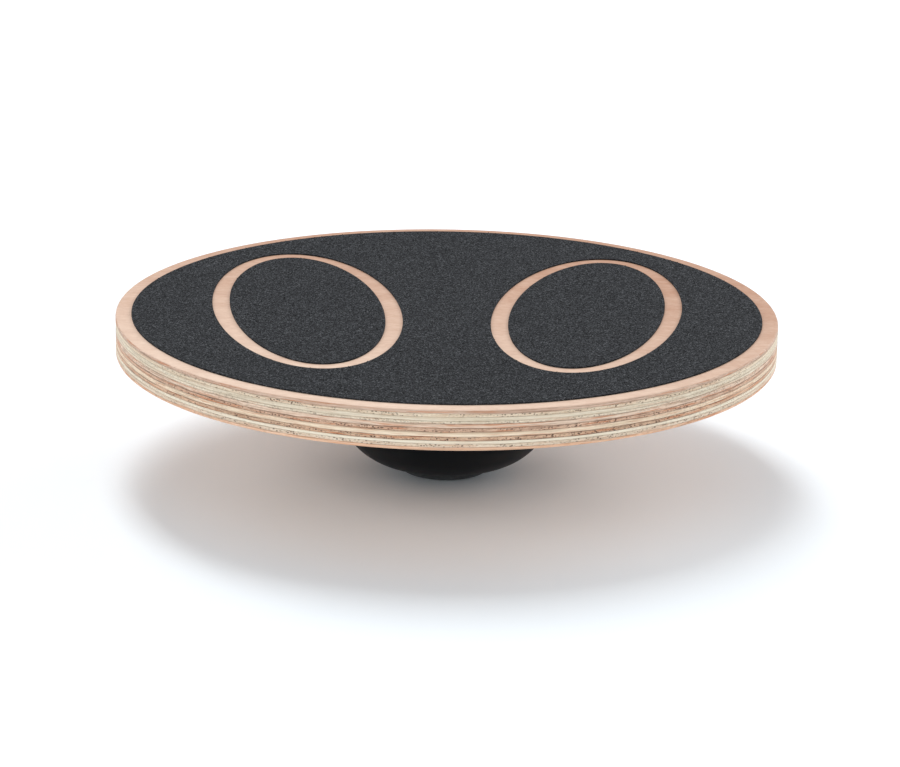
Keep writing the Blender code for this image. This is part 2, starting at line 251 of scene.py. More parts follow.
def cylinder(name, radius, bottom, top, steps):
    """A solid cylinder about Z."""
    return turned(name, [(0.0, top), (radius, top), (radius, bottom), (0.0, bottom)], steps)


def ringed(obj, count, radius, material=None):
    """Copies of a piece, which stands on the Z axis, set evenly round a circle."""
    return grown(obj, RING, {"Count": count, "Radius": radius, "Material": material})


def box(name, size, bottom):
    """A box whose middle is on Z and which stands on the level bottom."""
    mesh = bpy.data.meshes.new(name)
    form = bmesh.new()
    bmesh.ops.create_cube(form, size=1.0)
    bmesh.ops.scale(form, vec=size, verts=form.verts)
    bmesh.ops.translate(form, vec=(0.0, 0.0, bottom + size[2] / 2), verts=form.verts)
    form.to_mesh(mesh)
    form.free()
    return new_object(name, mesh)


def cut(target, cutters):
    """Cut closed meshes out of a closed mesh and give back the plain result."""
    for cutter in cutters:
        boolean = target.modifiers.new("cut", "BOOLEAN")
        boolean.operation = "DIFFERENCE"
        boolean.solver = "MANIFOLD"
        boolean.object = cutter
    bpy.context.view_layer.update()
    return settled(target)


def remove(objects):
    for obj in objects:
        bpy.data.objects.remove(obj, do_unlink=True)


def finish_piece(obj, material, slot, *nodes):
    """Give a piece its material, hide the CAD nodes that it stands for, and set it on the root body
    that it rides on.
    """
    obj.data.materials.clear()
    obj.data.materials.append(material)
    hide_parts(*nodes)
    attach(obj, "root")


# ---------------------------------------------------------------- materials


def linear(hex_colour):
    """Turn an sRGB hex colour into linear RGBA."""
    channels = [int(hex_colour[i:i + 2], 16) / 255 for i in (1, 3, 5)]
    straight = [c / 12.92 if c <= 0.04045 else ((c + 0.055) / 1.055) ** 2.4 for c in channels]
    return (*straight, 1.0)


def feed(tree, socket, value):
    """Set a socket to a plain value, or link it from a socket or from a node's first output."""
    if isinstance(value, bpy.types.Node):
        value = next(output for output in value.outputs if output.enabled)
    if isinstance(value, bpy.types.NodeSocket):
        tree.links.new(value, socket)
    else:
        socket.default_value = value


def add(tree, kind, inputs=None, **settings):
    """Add a node with its settings and feed its inputs, whose keys are their numbers or names."""
    node = tree.nodes.new(kind)
    for name, value in settings.items():
        setattr(node, name, value)
    open_sockets = {socket.name: socket for socket in reversed(node.inputs) if socket.enabled}
    for key, value in (inputs or {}).items():
        feed(tree, node.inputs[key] if isinstance(key, int) else open_sockets[key], value)
    return node


def new_material(name, patterns, place_settings=None):
    """A Principled material, its node tree and shader, and its noise patterns by their names.

    Each pattern is a size in metres in three directions, a detail and a roughness. Place settings
    move and turn all of them. "place" is the place on the piece that they are read at.
    """
    material = bpy.data.materials.new(name)
    material.use_nodes = True
    tree = material.node_tree
    place = add(tree, "ShaderNodeTexCoord").outputs["Object"]
    noises = {"place": place}
    for pattern, (size, detail, roughness) in patterns.items():
        sized = {"Vector": place, "Scale": size, **(place_settings or {})}
        mapping = add(tree, "ShaderNodeMapping", sized, vector_type="TEXTURE")
        settings = {"Vector": mapping, "Scale": 1.0, "Detail": detail, "Roughness": roughness}
        noises[pattern] = add(tree, "ShaderNodeTexNoise", settings)
    return material, tree, tree.nodes["Principled BSDF"], noises


def finish_material(tree, shader, inputs, relief, strength, height):
    """Feed the shader its inputs, and a bump of a given strength and height in metres."""
    bump = add(tree, "ShaderNodeBump", {"Strength": strength, "Distance": height, "Height": relief})
    for name, value in {**inputs, "Normal": bump}.items():
        feed(tree, shader.inputs[name], value)


def grain_and_edge(tree, turn):
    """How far the surface faces along the grain (end grain), and sideways (the deck's edge)."""
    normal = add(tree, "ShaderNodeNewGeometry").outputs["Normal"]
    grain_way = (math.cos(turn), math.sin(turn), 0.0)
    along = add(tree, "ShaderNodeVectorMath", {0: normal, 1: grain_way}, operation="DOT_PRODUCT")
    along = add(tree, "ShaderNodeMath", {0: along}, operation="ABSOLUTE")
    end_grain = add(tree, "ShaderNodeMapRange", {"Value": along, "From Min": 0.35, "From Max": 0.85})
    upright = add(tree, "ShaderNodeSeparateXYZ", {0: normal}).outputs["Z"]
    upright = add(tree, "ShaderNodeMath", {0: upright}, operation="ABSOLUTE")
    edge = add(tree, "ShaderNodeMapRange", {"Value": upright, "From Min": 0.9, "From Max": 0.5})
    return end_grain, edge


def wood_tone(tree, wood, end_grain, edge):
    """The wood's tone, 0 where it is dark and 1 where it is pale.

    The faces carry painted light, slowly paler towards the deck's front-left side, with a broad
    figure, and the edge shows the lines.
    """
    # Painted light: the faces are painted paler towards the deck's front-left side, as if more light
    # fell there
    toward_painted_light = add(
        tree, "ShaderNodeVectorMath", {0: wood["place"], 1: PAINTED_LIGHT_WAY}, operation="DOT_PRODUCT",
    )
    painted_light_gradient = add(
        tree, "ShaderNodeMapRange",
        {"Value": toward_painted_light, "From Min": PAINTED_LIGHT_START, "From Max": PAINTED_LIGHT_FULL},
    )
    figure = add(
        tree, "ShaderNodeMapRange",
        {"Value": wood["figure"], "From Min": 0.3, "From Max": 0.7, "To Min": -0.12, "To Max": 0.12},
    )
    # The faces' tone: their broad figure plus the painted light
    figure_and_painted_light = add(tree, "ShaderNodeMath", {0: painted_light_gradient, 1: figure}, operation="ADD")
    lines = add(
        tree, "ShaderNodeMapRange",
        {"Value": wood["lines"], "From Min": 0.36, "From Max": 0.64, "To Min": 0.35},
    )
    mottle = add(
        tree, "ShaderNodeMapRange", {"Value": wood["mottle"], "From Min": 0.34, "From Max": 0.66},
    )
    speckled = add(tree, "ShaderNodeMapRange", {"Value": end_grain, "To Min": 0.25, "To Max": 0.55})
    tone = add(tree, "ShaderNodeMix", {"Factor": edge, "A": figure_and_painted_light, "B": lines})
    return add(tree, "ShaderNodeMix", {"Factor": speckled, "A": tone, "B": mottle})


def narrowed(tree, mask, limits):
    """A mask times each of some values, which count from 0 at their start to 1 where they are full."""
    for value, start, full in limits:
        part = add(tree, "ShaderNodeMapRange", {"Value": value, "From Min": start, "From Max": full})
        mask = add(tree, "ShaderNodeMath", {0: mask, 1: part}, operation="MULTIPLY")
    return mask


def open_pores(tree, wood, placing, end_grain, strength):
    """Mask of the pores: dots in some of the cells, in patches, and mostly on the end grain."""
    cells = add(
        tree, "ShaderNodeMapping", {"Vector": wood["place"], "Scale": PORE_CELL, **placing},
        vector_type="TEXTURE",
    )
    dots = add(tree, "ShaderNodeTexVoronoi", {"Vector": cells, "Scale": 1.0})
    chance = add(tree, "ShaderNodeSeparateColor", {0: dots.outputs["Color"]}).outputs["Red"]
    mask = add(
        tree, "ShaderNodeMapRange",
        {"Value": end_grain, "To Min": 0.2 * strength, "To Max": strength},
    )
    limits = (
        (dots.outputs["Distance"], 0.55, 0.30), (chance, 0.15, 0.7), (wood["patches"], 0.36, 0.50),
    )
    return narrowed(tree, mask, limits)


def soaked_glue(tree, wood, edge, strength):
    """Mask of the glue in the veneer's two faces, which shows on its edge in broken lines."""
    through = add(tree, "ShaderNodeAttribute", attribute_name=THROUGH).outputs["Fac"]
    from_middle = add(tree, "ShaderNodeMath", {0: through, 1: 0.5}, operation="SUBTRACT")
    from_middle = add(tree, "ShaderNodeMath", {0: from_middle}, operation="ABSOLUTE")
    mask = add(tree, "ShaderNodeMath", {0: edge, 1: strength}, operation="MULTIPLY")
    return narrowed(tree, mask, ((from_middle, 0.28, 0.46), (wood["broken"], 0.42, 0.56)))


def sanded_veneer(name, pale, dark, streaks, pores, glue, turn, index):
    """Rotary-cut veneer, sanded and sealed with a clear satin lacquer.

    The growth rings of a peeled log lie almost flat in the sheet, so its edge shows thin lines
    along the deck, and where it is cut across the grain, dots of open pores. Lines and dots are
    drawn about three times their real size, as finer ones would not show.
    """
    shift = WOOD_SHIFT * index
    placing = {"Location": (shift, shift, 0.0), "Rotation": (0.0, 0.0, turn)}
    material, tree, shader, wood = new_material(name, WOOD_PATTERNS, placing)
    end_grain, edge = grain_and_edge(tree, turn)
    tone = wood_tone(tree, wood, end_grain, edge)
    colour = add(
        tree, "ShaderNodeMix", {"Factor": tone, "A": linear(dark), "B": linear(pale)},
        data_type="RGBA",
    )
    marks = []
    for pattern, start, full, strength, stain in WOOD_STAINS:
        amount = add(
            tree, "ShaderNodeMapRange",
            {"Value": wood[pattern], "From Min": start, "From Max": full, "To Max": streaks * strength},
        )
        amount = add(tree, "ShaderNodeMath", {0: amount, 1: edge}, operation="MULTIPLY")
        marks.append((amount, stain))
    pore_mask = open_pores(tree, wood, placing, end_grain, pores)
    marks += [(pore_mask, PORE_COLOUR), (soaked_glue(tree, wood, edge, glue), GLUE_COLOUR)]
    for amount, stain in marks:
        colour = add(
            tree, "ShaderNodeMix", {"Factor": amount, "A": colour, "B": linear(stain)},
            data_type="RGBA",
        )
    roughness = add(
        tree, "ShaderNodeMapRange",
        {"Value": wood["fine"], "From Min": 0.3, "From Max": 0.7, "To Min": 0.54, "To Max": 0.68},
    )
    relief = add(tree, "ShaderNodeMath", {0: wood["fine"], 1: pore_mask}, operation="SUBTRACT")
    inputs = {
        "Base Color": colour, "Roughness": roughness, "IOR": 1.5, "Specular IOR Level": 0.3,
    }
    finish_material(tree, shader, inputs, relief, strength=0.3, height=0.08 * MM)
    return material


def grit_sheet():
    """Charcoal mineral grit bonded on a film: matt, with single grains that catch the light.

    The grains are drawn three times their real size, as finer ones would not show.
    """
    patterns = {
        "fine": ((0.35 * MM,) * 3, 2.0, 0.7),
        "clumps": ((0.9 * MM,) * 3, 2.0, 0.7),
        "broad": ((60 * MM,) * 3, 2.0, 0.5),
    }
    material, tree, shader, grit = new_material("mineral_grit_bonded_on_film", patterns)
    grains = add(tree, "ShaderNodeTexVoronoi", {"Vector": grit["place"], "Scale": 1 / GRIT_CELL})
    chance = add(tree, "ShaderNodeSeparateColor", {0: grains.outputs["Color"]}).outputs["Red"]
    tone = add(tree, "ShaderNodeMix", {"Factor": 0.5, "A": chance, "B": grit["clumps"]})
    tone = add(tree, "ShaderNodeMapRange", {"Value": tone, "From Min": 0.3, "From Max": 0.75})
    colour = add(
        tree, "ShaderNodeMix", {"Factor": tone, "A": linear("#101112"), "B": linear("#34363A")},
        data_type="RGBA",
    )
    for value, start, full, strength, hue in (
        (chance, 0.86, 0.97, 0.6, "#66696C"), (grit["broad"], 0.35, 0.65, 0.08, "#101214"),
    ):
        amount = add(
            tree, "ShaderNodeMapRange",
            {"Value": value, "From Min": start, "From Max": full, "To Max": strength},
        )
        colour = add(
            tree, "ShaderNodeMix", {"Factor": amount, "A": colour, "B": linear(hue)},
            data_type="RGBA",
        )
    roughness = add(
        tree, "ShaderNodeMapRange", {"Value": chance, "To Min": 1.0, "To Max": 0.65},
    )
    relief = add(
        tree, "ShaderNodeMath", {0: grit["fine"], 1: grains.outputs["Distance"]},
        operation="SUBTRACT",
    )
    inputs = {
        "Base Color": colour, "Roughness": roughness, "IOR": 1.5, "Specular IOR Level": 0.1,
    }
    finish_material(tree, shader, inputs, relief, strength=0.8, height=0.2 * MM)
    return material


def moulded_abs():
    """Black ABS from a spark-textured mould: an even satin skin with very fine pebbling.

    The pits of the texture swallow most of the plastic's shine.
    """
    patterns = {"pebble": ((0.25 * MM,) * 3, 2.0, 0.6), "handling": ((18 * MM,) * 3, 3.0, 0.6)}
    material, tree, shader, skin = new_material("black_abs_spark_textured", patterns)
    worn = add(
        tree, "ShaderNodeMapRange", {"Value": skin["handling"], "From Min": 0.35, "From Max": 0.7},
    )
    colour = add(
        tree, "ShaderNodeMix", {"Factor": worn, "A": linear("#080B0F"), "B": linear("#0C1014")},
        data_type="RGBA",
    )
    grain = add(tree, "ShaderNodeMix", {"Factor": 0.5, "A": skin["pebble"], "B": skin["handling"]})
    roughness = add(
        tree, "ShaderNodeMapRange",
        {"Value": grain, "From Min": 0.3, "From Max": 0.7, "To Min": 0.40, "To Max": 0.54},
    )
    inputs = {
        "Base Color": colour, "Roughness": roughness, "IOR": 1.54, "Specular IOR Level": 0.1,
    }
    finish_material(tree, shader, inputs, skin["pebble"], strength=0.25, height=0.04 * MM)
    return material


def moulded_rubber():
    """Natural rubber, compression moulded: matt dark grey with a dusty bloom."""
    patterns = {"bloom": ((7 * MM,) * 3, 4.0, 0.65), "fine": ((0.3 * MM,) * 3, 2.0, 0.6)}
    material, tree, shader, skin = new_material("dark_rubber_moulded", patterns)
    dusty = add(
        tree, "ShaderNodeMapRange", {"Value": skin["bloom"], "From Min": 0.4, "From Max": 0.7},
    )
    colour = add(
        tree, "ShaderNodeMix", {"Factor": dusty, "A": linear("#313334"), "B": linear("#434647")},
        data_type="RGBA",
    )
    roughness = add(
        tree, "ShaderNodeMapRange",
        {"Value": skin["bloom"], "From Min": 0.3, "From Max": 0.7, "To Min": 0.62, "To Max": 0.80},
    )
    inputs = {"Base Color": colour, "Roughness": roughness, "IOR": 1.52}
    finish_material(tree, shader, inputs, skin["fine"], strength=0.4, height=0.08 * MM)
    return material


def zinc_plated_steel():
    """Rolled steel screw with a thin zinc plating: bright, slightly cloudy and bluish."""
    patterns = {"cloud": ((2 * MM,) * 3, 4.0, 0.6), "fine": ((0.2 * MM,) * 3, 2.0, 0.6)}
    material, tree, shader, skin = new_material("zinc_plated_steel", patterns)
    cloudy = add(
        tree, "ShaderNodeMapRange", {"Value": skin["cloud"], "From Min": 0.35, "From Max": 0.65},
    )
    colour = add(
        tree, "ShaderNodeMix", {"Factor": cloudy, "A": linear("#A9ABB0"), "B": linear("#C9CACD")},
        data_type="RGBA",
    )
    roughness = add(tree, "ShaderNodeMapRange", {"Value": cloudy, "To Min": 0.22, "To Max": 0.42})
    inputs = {"Base Color": colour, "Roughness": roughness, "Metallic": 1.0}
    finish_material(tree, shader, inputs, skin["fine"], strength=0.1, height=0.02 * MM)
    return material


# ---------------------------------------------------------------- repeats


def new_tree(name, inputs):
    """A Geometry Nodes tree with the given named inputs, and the sockets that give their values."""
    tree = bpy.data.node_groups.new(name, "GeometryNodeTree")
    tree.is_modifier = True
    sockets = {"Geometry": "Geometry", **inputs, "Material": "Material"}
    for socket_name, kind in sockets.items():
        tree.interface.new_socket(socket_name, in_out="INPUT", socket_type="NodeSocket" + kind)
    tree.interface.new_socket("Geometry", in_out="OUTPUT", socket_type="NodeSocketGeometry")
    return tree, add(tree, "NodeGroupInput").outputs


def end_tree(tree, given, geometry):
    """Every tree ends by making its copies real and giving them the material."""
    real = add(tree, "GeometryNodeRealizeInstances", {0: geometry})
    dressed = add(
        tree, "GeometryNodeSetMaterial", {"Geometry": real, "Material": given["Material"]},
    )
    add(tree, "NodeGroupOutput", {0: dressed})
    return tree


def grown(obj, tree, values):
    """Run a Geometry Nodes tree on an object and give back the plain mesh."""
    modifier = obj.modifiers.new(tree.name, "NODES")
    modifier.node_group = tree
    for item in tree.interface.items_tree:
        if item.in_out == "INPUT" and values.get(item.name) is not None:
            modifier[item.identifier] = values[item.name]
    bpy.context.view_layer.update()
    return settled(obj)


def turning_tree():
    """Turns an outline, a chain of points in the XZ plane, about Z into a closed form.

    A grid with a row for each point of the outline and a column for each step is bent round the
    axis, and then merged where it meets itself and at its two poles.
    """
    tree, given = new_tree("turned_about_the_axis", {"Steps": "Int"})
    size = add(tree, "GeometryNodeAttributeDomainSize", {"Geometry": given["Geometry"]})
    points = size.outputs["Point Count"]
    columns = add(tree, "FunctionNodeIntegerMath", {0: given["Steps"], 1: 1}, operation="ADD")
    grid = add(tree, "GeometryNodeMeshGrid", {"Vertices X": columns, "Vertices Y": points})
    index = add(tree, "GeometryNodeInputIndex")
    row = add(tree, "FunctionNodeIntegerMath", {0: index, 1: points}, operation="MODULO")
    column = add(tree, "FunctionNodeIntegerMath", {0: index, 1: points}, operation="DIVIDE")
    place = add(
        tree, "GeometryNodeSampleIndex",
        {"Geometry": given["Geometry"], "Value": add(tree, "GeometryNodeInputPosition"), "Index": row},
        data_type="FLOAT_VECTOR",
    )
    step = add(tree, "ShaderNodeMath", {0: math.tau, 1: given["Steps"]}, operation="DIVIDE")
    angle = add(tree, "ShaderNodeMath", {0: column, 1: step}, operation="MULTIPLY")
    bent = add(
        tree, "ShaderNodeVectorRotate", {"Vector": place, "Angle": angle}, rotation_type="Z_AXIS",
    )
    form = add(tree, "GeometryNodeSetPosition", {"Geometry": grid, "Position": bent})
    closed = add(tree, "GeometryNodeMergeByDistance", {"Geometry": form, "Distance": MERGE_DISTANCE})
    outwards = add(tree, "GeometryNodeFlipFaces", {0: closed})
    return end_tree(tree, given, outwards)


def ring_tree():
    """Sets copies of a piece evenly round a circle, each turned to face outwards."""
    tree, given = new_tree("copies_round_a_circle", {"Count": "Int", "Radius": "Float"})
    circle = add(
        tree, "GeometryNodeMeshCircle", {"Vertices": given["Count"], "Radius": given["Radius"]},
    )
    step = add(tree, "ShaderNodeMath", {0: math.tau, 1: given["Count"]}, operation="DIVIDE")
    index = add(tree, "GeometryNodeInputIndex")
    angle = add(tree, "ShaderNodeMath", {0: index, 1: step}, operation="MULTIPLY")
    turn = add(tree, "ShaderNodeCombineXYZ", {"Z": angle})
    copies = add(
        tree, "GeometryNodeInstanceOnPoints",
        {"Points": circle, "Instance": given["Geometry"], "Rotation": turn},
    )
    return end_tree(tree, given, copies)


def grit_tree():
    """Scatters angular grains on the upward faces of a sheet and keeps the sheet."""
    tree, given = new_tree(
        "grit_grains", {"Grain size": "Float", "Grains per area": "Float", "Seed": "Int"},
    )
    normal = add(tree, "GeometryNodeInputNormal")
    up = add(tree, "ShaderNodeSeparateXYZ", {0: normal.outputs["True Normal"]}).outputs["Z"]
    upward = add(tree, "FunctionNodeCompare", {"A": up, "B": LEVEL_ENOUGH}, operation="GREATER_THAN")
    points = add(
        tree, "GeometryNodeDistributePointsOnFaces",
        {
            "Mesh": given["Geometry"], "Selection": upward, "Density": given["Grains per area"],
            "Seed": given["Seed"],
        },
    )
    turns = add(
        tree, "FunctionNodeRandomValue", {"Max": (math.tau,) * 3, "Seed": given["Seed"]},
        data_type="FLOAT_VECTOR",
    )
    sizes = add(
        tree, "FunctionNodeRandomValue",
        {"Min": SMALLEST_GRAIN, "Max": LARGEST_GRAIN, "Seed": given["Seed"]},
        data_type="FLOAT",
    )
    scale = add(tree, "ShaderNodeMath", {0: sizes, 1: given["Grain size"]}, operation="MULTIPLY")
    grains = add(
        tree, "GeometryNodeInstanceOnPoints",
        {
            "Points": points, "Instance": add(tree, "GeometryNodeMeshCube"), "Rotation": turns,
            "Scale": scale,
        },
    )
    both = add(tree, "GeometryNodeJoinGeometry", {0: grains})
    tree.links.new(given["Geometry"], both.inputs[0])
    return end_tree(tree, given, both)


# ---------------------------------------------------------------- deck


def veneer_outline(radius, bottom, top, round_bottom, round_top):
    """Half section of a veneer, with a small arris at each glue line or a rounded outer corner."""
    lower = EDGE_ROUNDING if round_bottom else GLUE_ARRIS
    upper = EDGE_ROUNDING if round_top else GLUE_ARRIS
    side_top = top - upper
    side_height = side_top - bottom - lower
    side = [(radius, side_top - side_height * i / SIDE_STEPS) for i in range(1, SIDE_STEPS)]
    return [
        (0.0, top),
        (radius - upper - FLAT_MARGIN, top),
        *arc((radius - upper, top - upper), upper, math.pi, math.pi / 2, SIDE_STEPS),
        *side,
        *arc((radius - lower, bottom + lower), lower, math.pi / 2, 0.0, SIDE_STEPS),
        (radius - lower - FLAT_MARGIN, bottom),
        (0.0, bottom),
    ]


def glue_line_rise(number, x, y):
    """How far glue line `number`, counted from the top face, lies above its level at (x, y)."""
    if number in (0, len(VENEERS)):
        return 0.0
    return GLUE_LINE_WAVE * noise.noise(Vector((x, y, number)) / GLUE_LINE_WAVE_LENGTH)


def press_and_sand(mesh, index, radius, bottom, top):
    """Let the glue lines wander as pressed veneers' do, and wave the rim as hand sanding does.

    Each vertex keeps its place through the veneer for the wood, which shows glue near 0 and 1.
    """
    through = mesh.attributes.new(THROUGH, "FLOAT", "POINT")
    for vertex, entry in zip(mesh.vertices, through.data):
        place = vertex.co
        share = min(1.0, max(0.0, (place.z - bottom) / (top - bottom)))
        entry.value = share
        across = math.hypot(place.x, place.y)
        if across < radius - EDGE_ROUNDING - SANDING_WAVE:
            continue
        rise = share * glue_line_rise(index, place.x, place.y)
        rise += (1 - share) * glue_line_rise(index + 1, place.x, place.y)
        squeezed = Vector((place.x, place.y, SANDING_WAVE_SQUEEZE * place.z))
        wave = noise.noise(squeezed / SANDING_WAVE_LENGTH)
        place.z += rise
        inwards = 1 - SANDING_WAVE * (1 + wave) / 2 / across
        place.x *= inwards
        place.y *= inwards


def make_deck(screw_ways):
    """The veneers, of which the lowest are bored for the screws."""
    last = len(VENEERS) - 1
    for index, (node, slot, pale, dark, streaks, pores, glue) in enumerate(VENEERS):
        low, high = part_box(node)
        outline = veneer_outline(high.x, low.z, high.z, index == last, index == 0)
        grain_turn = math.pi / 2 * (index % 2)
        name = f"{node}_sanded_and_lacquered"
        material = sanded_veneer(name, pale, dark, streaks, pores, glue, grain_turn, index)
        veneer = turned(node.replace("ply", "veneer"), outline, DECK_STEPS, material)
        if low.z < PILOT_END_Z:
            veneer = cut(veneer, [screw_ways])
        press_and_sand(veneer.data, index, high.x, low.z, high.z)
        finish_piece(veneer, material, slot, node)


# ---------------------------------------------------------------- grit sheet


def foot_oval(node, side, margin):
    """Outline of a foot mark grown by margin, with its length taken from the CAD piece."""
    low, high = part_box(node)
    half_y = (high.y - low.y) / 2
    width_in_y = FOOT_HALF_WIDTH * math.sin(TOE_OUT)
    half_length = math.sqrt(half_y**2 - width_in_y**2) / math.cos(TOE_OUT)
    turn = Matrix.Rotation(-side * TOE_OUT, 2)
    middle = Vector(((low.x + high.x) / 2, (low.y + high.y) / 2))
    points = []
    for i in range(OVAL_STEPS):
        angle = math.tau * i / OVAL_STEPS
        across = (FOOT_HALF_WIDTH + margin) * math.cos(angle)
        along = (half_length + margin) * math.sin(angle)
        points.append(middle + turn @ Vector((across, along)))
    return points


def cut_sheet(name, node, loops, material):
    """A sheet cut to the loops, the first its edge and the others its openings, with its grit."""
    low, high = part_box(node)
    curve = bpy.data.curves.new(name, "CURVE")
    curve.dimensions = "2D"
    curve.fill_mode = "BOTH"
    curve.extrude = (high.z - low.z) / 2 - SHEET_ARRIS
    curve.bevel_depth = SHEET_ARRIS
    curve.bevel_resolution = 1
    curve.offset = -SHEET_ARRIS
    for loop in loops:
        spline = curve.splines.new("POLY")
        spline.points.add(len(loop) - 1)
        spline.use_cyclic_u = True
        for point, (x, y) in zip(spline.points, loop):
            point.co = (x, y, 0.0, 1.0)
    sheet = new_object(name, curve)
    sheet.location.z = (low.z + high.z) / 2
    weld = sheet.modifiers.new("weld", "WELD")
    weld.merge_threshold = MERGE_DISTANCE
    bpy.context.view_layer.update()
    sheet = settled(sheet)
    sheet = grown(
        sheet, GRIT,
        {
            "Grain size": GRAIN_SIZE, "Grains per area": float(GRAINS_PER_SQUARE_METRE),
            "Seed": GRAIN_SEED, "Material": material,
        },
    )
    finish_piece(sheet, material, "grip_sheet", node)


def make_grip():
    """The round sheet with an opening for each foot mark, and the two marks inside them."""
    material = grit_sheet()
    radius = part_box("grip_field")[1].x
    rim = [
        Vector((radius * math.cos(angle), radius * math.sin(angle)))
        for angle in (math.tau * i / DECK_STEPS for i in range(DECK_STEPS))
    ]
    marks = (("grip_left_foot", -1), ("grip_right_foot", 1))
    openings = [foot_oval(node, side, FOOT_BAND) for node, side in marks]
    cut_sheet("grit_field", "grip_field", [rim, *openings], material)
    for node, side in marks:
        cut_sheet(node.replace("grip", "grit"), node, [foot_oval(node, side, 0.0)], material)


# ---------------------------------------------------------------- dome, pad and screws


def dome_surface(inset):
    """Points (r, z) from the pole to the rim, moved inwards by inset from the outside.

    Three arcs meet smoothly: the pole's, the shoulder's and the flank's, which ends at the rim.
    """
    pole_centre = (0.0, DOME_POLE_Z + POLE_RADIUS)
    inwards = (-math.sin(POLE_ANGLE), math.cos(POLE_ANGLE))
    pole_end = arc(pole_centre, POLE_RADIUS, POLE_ANGLE, POLE_ANGLE, 1)[0]
    shoulder_centre = [pole_end[i] + SHOULDER_RADIUS * inwards[i] for i in (0, 1)]
    shoulder_end = arc(shoulder_centre, SHOULDER_RADIUS, SHOULDER_ANGLE, SHOULDER_ANGLE, 1)[0]
    inwards = (-math.sin(SHOULDER_ANGLE), math.cos(SHOULDER_ANGLE))
    to_rim = (DOME_RIM_RADIUS - shoulder_end[0], DOME_RIM_Z - shoulder_end[1])
    depth = inwards[0] * to_rim[0] + inwards[1] * to_rim[1]
    flank_radius = (to_rim[0]**2 + to_rim[1]**2) / (2 * depth)
    flank_centre = [shoulder_end[i] + flank_radius * inwards[i] for i in (0, 1)]
    rim_angle = math.atan2(DOME_RIM_RADIUS - flank_centre[0], flank_centre[1] - DOME_RIM_Z)
    points = []
    for centre, radius, start, end in (
        (pole_centre, POLE_RADIUS, 0.0, POLE_ANGLE),
        (shoulder_centre, SHOULDER_RADIUS, POLE_ANGLE, SHOULDER_ANGLE),
        (flank_centre, flank_radius, SHOULDER_ANGLE, rim_angle),
    ):
        part = arc(centre, radius - inset, start, end, DOME_ARC_STEPS)
        points += part[1:] if points else part
    return points


def make_screw_ways():
    """Stepped cutters for the screws: each has a well, a clearance hole and a pilot hole."""
    hole_radius = SCREW_THREAD_RADIUS + FIT_GAP
    outline = [
        (0.0, PILOT_END_Z),
        (hole_radius, PILOT_END_Z - SCREW_POINT),
        (hole_radius, HEAD_TOP_Z + FIT_GAP),
        (WELL_RADIUS, HEAD_TOP_Z + FIT_GAP),
        (WELL_RADIUS, -OVERSHOOT),
        (0.0, -OVERSHOOT),
    ]
    return ringed(turned("screw_ways", outline, SCREW_STEPS), SCREW_COUNT, SCREW_CIRCLE)


def make_ribs():
    """The plates that cross the dome, as half plates from inside the hub to the rim."""
    inner = HUB_RADIUS / 2
    size = (DOME_RIM_RADIUS - inner, RIB_THICKNESS, DOME_RIM_Z - RIB_RELIEF)
    return ringed(box("ribs", size, 0.0), 2 * RIB_PLATES, (DOME_RIM_RADIUS + inner) / 2)


def make_dome(screw_ways):
    """A solid dome less its cavity, from which the hub, the bosses and the ribs are cut first."""
    floor_z = PAD_SEAT_Z + DOME_WALL
    top = DOME_RIM_Z + OVERSHOOT
    wall = [point for point in dome_surface(DOME_WALL) if point[1] > floor_z]
    outline = [
        (0.0, top),
        (wall[-1][0], top),
        *reversed(wall),
        (wall[0][0], floor_z),
        (0.0, floor_z),
    ]
    cavity = turned("cavity", outline, DOME_STEPS)
    over = top + OVERSHOOT
    boss = cylinder("bosses", WELL_RADIUS + WELL_WALL, 0.0, over, BOSS_STEPS)
    standing = [
        cylinder("hub", HUB_RADIUS, 0.0, over, HUB_STEPS),
        ringed(boss, SCREW_COUNT, SCREW_CIRCLE),
        make_ribs(),
    ]
    cavity = cut(cavity, standing)
    material = moulded_abs()
    outside = [(0.0, DOME_RIM_Z), *reversed(dome_surface(0.0))]
    dome = turned("moulded_dome", outside, DOME_STEPS, material)
    hollows = [
        cavity,
        cylinder("hub_bore", HUB_BORE_RADIUS, floor_z, top, HUB_STEPS),
        cylinder("pad_seat", PAD_SEAT_RADIUS, -OVERSHOOT, PAD_SEAT_Z, PAD_SEAT_STEPS),
    ]
    dome = cut(dome, [*hollows, screw_ways])
    remove(standing + hollows)
    finish_piece(dome, material, "black_plastic", "dome_base")


def make_pad():
    """A rubber disc with a flat middle, a crown, a rounded edge and grooves that grip the floor."""
    radius, top = pad_high.x, pad_high.z
    rise = math.sqrt(PAD_CROWN_RADIUS**2 - PAD_FLAT_RADIUS**2)

    def underside(r):
        return rise - math.sqrt(PAD_CROWN_RADIUS**2 - max(r, PAD_FLAT_RADIUS)**2)

    inner = radius - PAD_EDGE_ROUNDING
    edge_z = underside(inner) + PAD_EDGE_ROUNDING
    edge_end = math.asin(inner / PAD_CROWN_RADIUS)
    outline = [
        (0.0, top),
        (radius - GLUE_ARRIS, top),
        (radius, top - GLUE_ARRIS),
        *arc((inner, edge_z), PAD_EDGE_ROUNDING, math.pi / 2, edge_end, PAD_EDGE_STEPS),
    ]
    half = PAD_GROOVE_WIDTH / 2
    for groove in reversed(PAD_GROOVES):
        floor_z = underside(groove) + PAD_GROOVE_DEPTH
        outline += [
            (groove + half, underside(groove + half)),
            (groove + half * PAD_GROOVE_FLOOR, floor_z),
            (groove - half * PAD_GROOVE_FLOOR, floor_z),
            (groove - half, underside(groove - half)),
        ]
    outline.append((0.0, 0.0))
    material = moulded_rubber()
    pad = turned("rubber_pad", outline, PAD_STEPS, material)
    finish_piece(pad, material, "black_rubber", "dome_pad")


